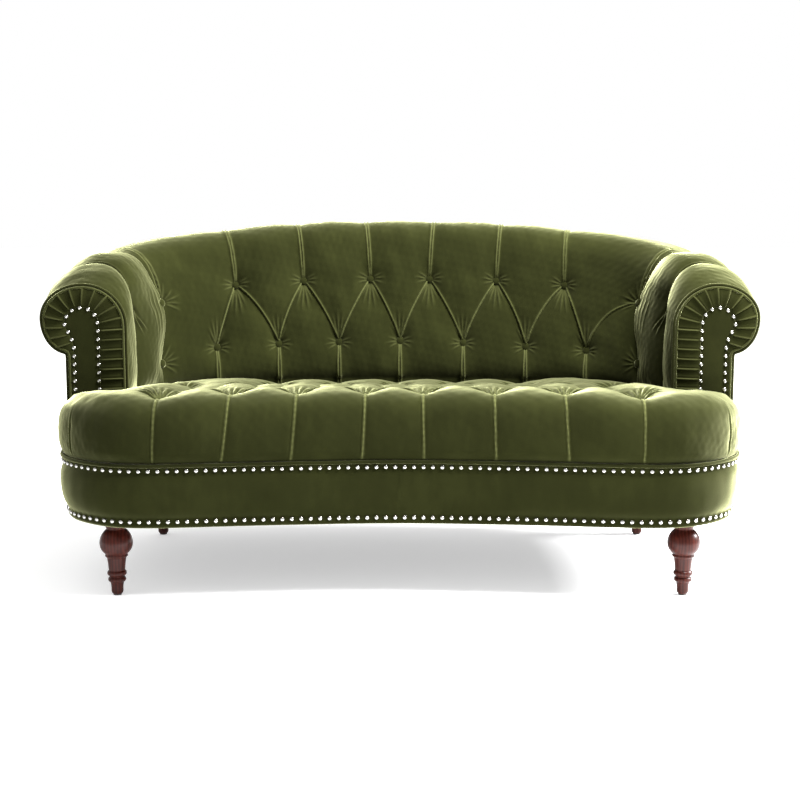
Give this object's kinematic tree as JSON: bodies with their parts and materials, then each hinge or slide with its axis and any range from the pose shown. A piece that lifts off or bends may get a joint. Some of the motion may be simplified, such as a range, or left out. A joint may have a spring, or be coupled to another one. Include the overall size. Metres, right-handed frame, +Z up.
{
  "type": "chesterfield loveseat",
  "caption": "Deep-buttoned velvet loveseat with rolled scroll arms, kidney-shaped tight seat, nailhead trim and turned wooden feet.",
  "frame": {"origin": "on the floor, under the middle of the bounding box", "axes": "+X to the right of a person looking at the front, +Y to the back, +Z up"},
  "size_m": [1.6776, 0.8184, 0.821],
  "materials": {
    "velvet": "cut-pile velvet, olive green, matt with sheen",
    "foam": "polyurethane foam, open cell",
    "felt": "needled felt",
    "webbing": "woven jute",
    "dust_cloth": "black spunbond",
    "frame_wood": "planed hardwood and plywood, unfinished",
    "foot_wood": "mahogany stain, gloss lacquer",
    "nickel": "polished nickel",
    "spring_steel": "oiled spring steel",
    "zinc": "zinc plated steel",
    "nylon": "moulded nylon"
  },
  "bodies": {
    "root": {"seat_cover": "velvet", "inside_back_cover": "velvet", "inside_arm_cover_left": "velvet", "inside_arm_cover_right": "velvet", "outside_arm_cover_left": "velvet", "outside_arm_cover_right": "velvet", "outside_back_cover": "velvet", "arm_facing_panel_left": "velvet", "arm_facing_panel_right": "velvet", "arm_facing_border_left": "velvet", "arm_facing_border_right": "velvet", "arm_facing_welt_left": "velvet", "arm_facing_welt_right": "velvet", "base_band": "velvet", "seat_welt": "velvet", "buttons_inside_back": "velvet", "buttons_arms": "velvet", "buttons_seat": "velvet", "seat_foam": "foam", "inside_back_foam": "foam", "inside_arm_foam_left": "foam", "inside_arm_foam_right": "foam", "seat_insulator_felt": "felt", "back_webbing": "webbing", "dust_cover": "dust_cloth", "frame_front_rail": "frame_wood", "frame_back_rail": "frame_wood", "frame_side_rail_left": "frame_wood", "frame_side_rail_right": "frame_wood", "frame_stretcher_left": "frame_wood", "frame_stretcher_right": "frame_wood", "frame_corner_blocks": "frame_wood", "frame_back_top_rail": "frame_wood", "frame_back_tack_rail": "frame_wood", "frame_back_post_left": "frame_wood", "frame_back_post_right": "frame_wood", "frame_corner_post_left": "frame_wood", "frame_corner_post_right": "frame_wood", "frame_arm_board_left": "frame_wood", "frame_arm_board_right": "frame_wood", "frame_arm_top_rail_left": "frame_wood", "frame_arm_top_rail_right": "frame_wood", "frame_arm_tack_rail_left": "frame_wood", "frame_arm_tack_rail_right": "frame_wood", "foot_front_left": "foot_wood", "foot_front_right": "foot_wood", "foot_rear_left": "foot_wood", "foot_rear_right": "foot_wood", "base_nailheads": "nickel", "arm_nailheads_left": "nickel", "arm_nailheads_right": "nickel", "seat_springs": "spring_steel", "spring_clips": "zinc", "frame_block_screws": "zinc", "foot_hanger_bolts": "zinc", "foot_t_nuts": "zinc", "foot_glides": "nylon"}
  },
  "joints": []
}
